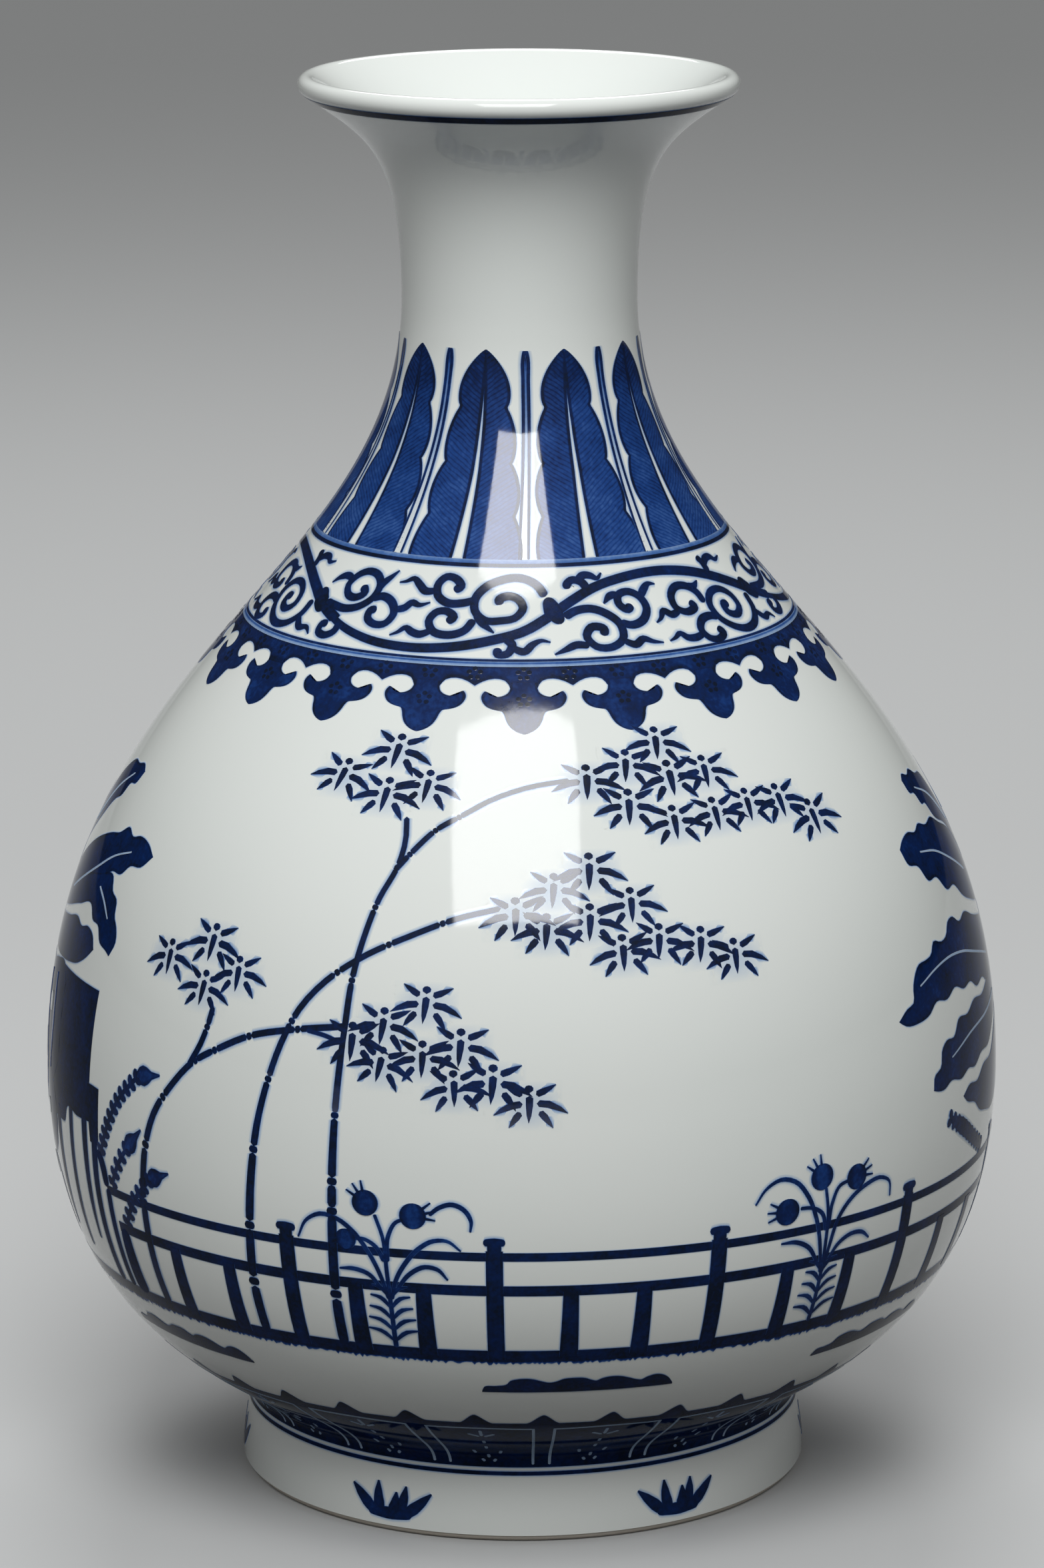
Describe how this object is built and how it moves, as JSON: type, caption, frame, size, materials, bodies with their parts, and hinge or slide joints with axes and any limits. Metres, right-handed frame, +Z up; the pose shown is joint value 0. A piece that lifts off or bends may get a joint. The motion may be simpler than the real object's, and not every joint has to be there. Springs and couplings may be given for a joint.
{
  "type": "yuhuchunping vase",
  "caption": "Pear-shaped porcelain bottle vase with flared mouth, slender neck, round belly and ring foot, painted in underglaze blue with a garden of bamboo, plantain and fence.",
  "frame": {"origin": "centre of the foot rim, on the surface that the vase stands on", "axes": "+Z up along the vase's axis, -Y towards the viewer's side of the painting"},
  "size_m": [0.1948, 0.1946, 0.288],
  "materials": {
    "porcelain": "fired porcelain, matte under the glaze",
    "biscuit": "bare fired porcelain, matte, toasted at the rim",
    "slip": "fired porcelain slip, matte",
    "glaze": "clear gloss glaze over white porcelain and cobalt painting",
    "inner_glaze": "plain gloss glaze"
  },
  "bodies": {
    "root": {"foot_ring": "biscuit", "foot_slip": "slip", "lower_body": "porcelain", "belly_slip": "slip", "upper_body": "porcelain", "neck_slip": "slip", "neck": "porcelain", "outer_glaze": "glaze", "inner_glaze": "inner_glaze", "base_glaze": "inner_glaze"}
  },
  "joints": []
}
